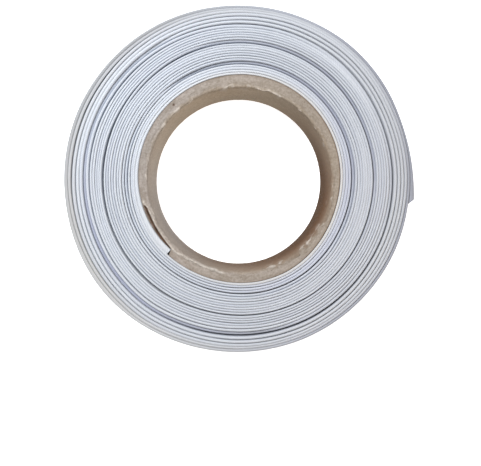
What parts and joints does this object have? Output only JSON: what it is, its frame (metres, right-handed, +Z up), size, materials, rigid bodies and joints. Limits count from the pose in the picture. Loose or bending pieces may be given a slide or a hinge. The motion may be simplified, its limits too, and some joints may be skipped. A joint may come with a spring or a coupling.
{
  "type": "roll of bias tape",
  "caption": "Flat satin tape with both long edges folded in, wound on its edge round a short cardboard ring, with a free outer end. It binds and trims raw cloth edges.",
  "frame": {"origin": "on the winding's axis, at the surface that the roll lies on", "axes": "+Z up along the roll's axis, +X towards the tape's free outer end; the tape winds outwards clockwise seen from +Z"},
  "size_m": [0.072, 0.0714, 0.02],
  "materials": {
    "cardboard": "sawn grey-tan cardboard tube, matt and fibrous on its cut faces, smoother and browner in its bore",
    "satin_tape": "bluish white satin, cut on the bias, with a soft sheen"
  },
  "bodies": {
    "root": {"core": "cardboard", "tape_roll": "satin_tape", "loose_end": "satin_tape"}
  },
  "joints": []
}
